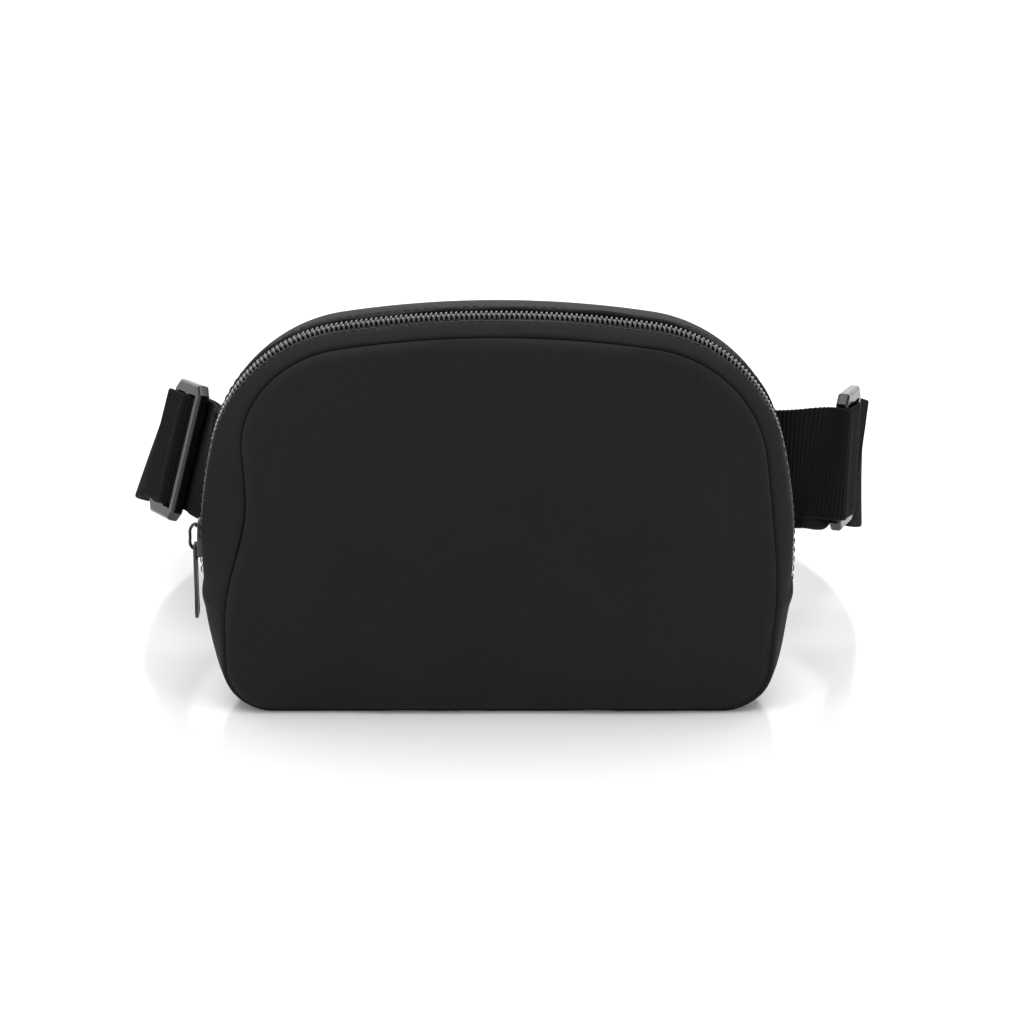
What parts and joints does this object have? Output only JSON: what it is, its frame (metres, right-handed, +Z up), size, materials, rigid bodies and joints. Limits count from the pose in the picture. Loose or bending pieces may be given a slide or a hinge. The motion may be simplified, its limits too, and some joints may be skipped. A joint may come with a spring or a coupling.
{
  "type": "waist bag",
  "caption": "Zipped waist bag with a rounded front, a zip over the top from side to side, and a webbing belt with adjusters and a side-release buckle.",
  "frame": {"origin": "middle of the bag's base, on the ground", "axes": "+Z up, the front panel faces -Y, +X to the right seen from the front"},
  "size_m": [0.2525, 0.2163, 0.125],
  "materials": {
    "outer_cloth": "woven polyester, matte",
    "foam_sheet": "closed-cell foam sheet",
    "lining_cloth": "thin woven lining",
    "binding_tape": "ribbed binding tape",
    "zip_tape": "herringbone zip tape",
    "zip_teeth": "moulded nylon coil",
    "black_zinc": "black painted die-cast zinc",
    "webbing": "ribbed polypropylene webbing",
    "black_acetal": "moulded acetal, polished"
  },
  "bodies": {
    "bag": {"front_panel": "outer_cloth", "front_foam": "foam_sheet", "front_lining": "lining_cloth", "back_panel": "outer_cloth", "back_foam": "foam_sheet", "back_lining": "lining_cloth", "zip_band_front": "outer_cloth", "zip_band_rear": "outer_cloth", "base_gusset": "outer_cloth", "base_lining": "lining_cloth", "rear_band_lining": "lining_cloth", "seam_binding_front": "binding_tape", "seam_binding_back": "binding_tape", "zip_tape_front": "zip_tape", "zip_tape_rear": "zip_tape", "zip_coil_front": "zip_teeth", "zip_coil_rear": "zip_teeth", "zip_top_stops": "zip_teeth", "zip_bottom_stop": "zip_teeth", "belt_webbing_right": "webbing", "belt_tail_right": "webbing", "belt_webbing_left": "webbing", "belt_tail_left": "webbing", "adjuster_right": "black_acetal", "adjuster_left": "black_acetal", "buckle_socket": "black_acetal", "buckle_plug": "black_acetal"},
    "slider": {"zip_slider": "black_zinc"},
    "pull": {"zip_pull": "black_zinc"},
    "prong_top": {"buckle_prong_top": "black_acetal"},
    "prong_bottom": {"buckle_prong_bottom": "black_acetal"}
  },
  "joints": [
    {"name": "zip_slider_travel", "type": "hinge", "parent": "bag", "child": "slider", "pos_m": [0.058, -0.015, 0.05], "axis": [0, 1, 0], "range_deg": [0, 11.5]},
    {"name": "zip_pull_swing", "type": "hinge", "parent": "slider", "child": "pull", "pos_m": [-0.09432, -0.015, 0.0505], "axis": [0, 1, 0], "range_deg": [0, 140]},
    {"name": "buckle_squeeze_top", "type": "hinge", "parent": "bag", "child": "prong_top", "pos_m": [0.0114, 0.176, 0.042], "axis": [0, -1, 0], "range_deg": [0, 14], "stiffness_Nm_per_rad": 0.6},
    {"name": "buckle_squeeze_bottom", "type": "hinge", "parent": "bag", "child": "prong_bottom", "pos_m": [0.0114, 0.176, 0.008], "axis": [0, 1, 0], "range_deg": [0, 14], "stiffness_Nm_per_rad": 0.6}
  ],
  "couplings": [
    {"joint": "buckle_squeeze_bottom", "follows": "buckle_squeeze_top", "ratio": 1}
  ]
}
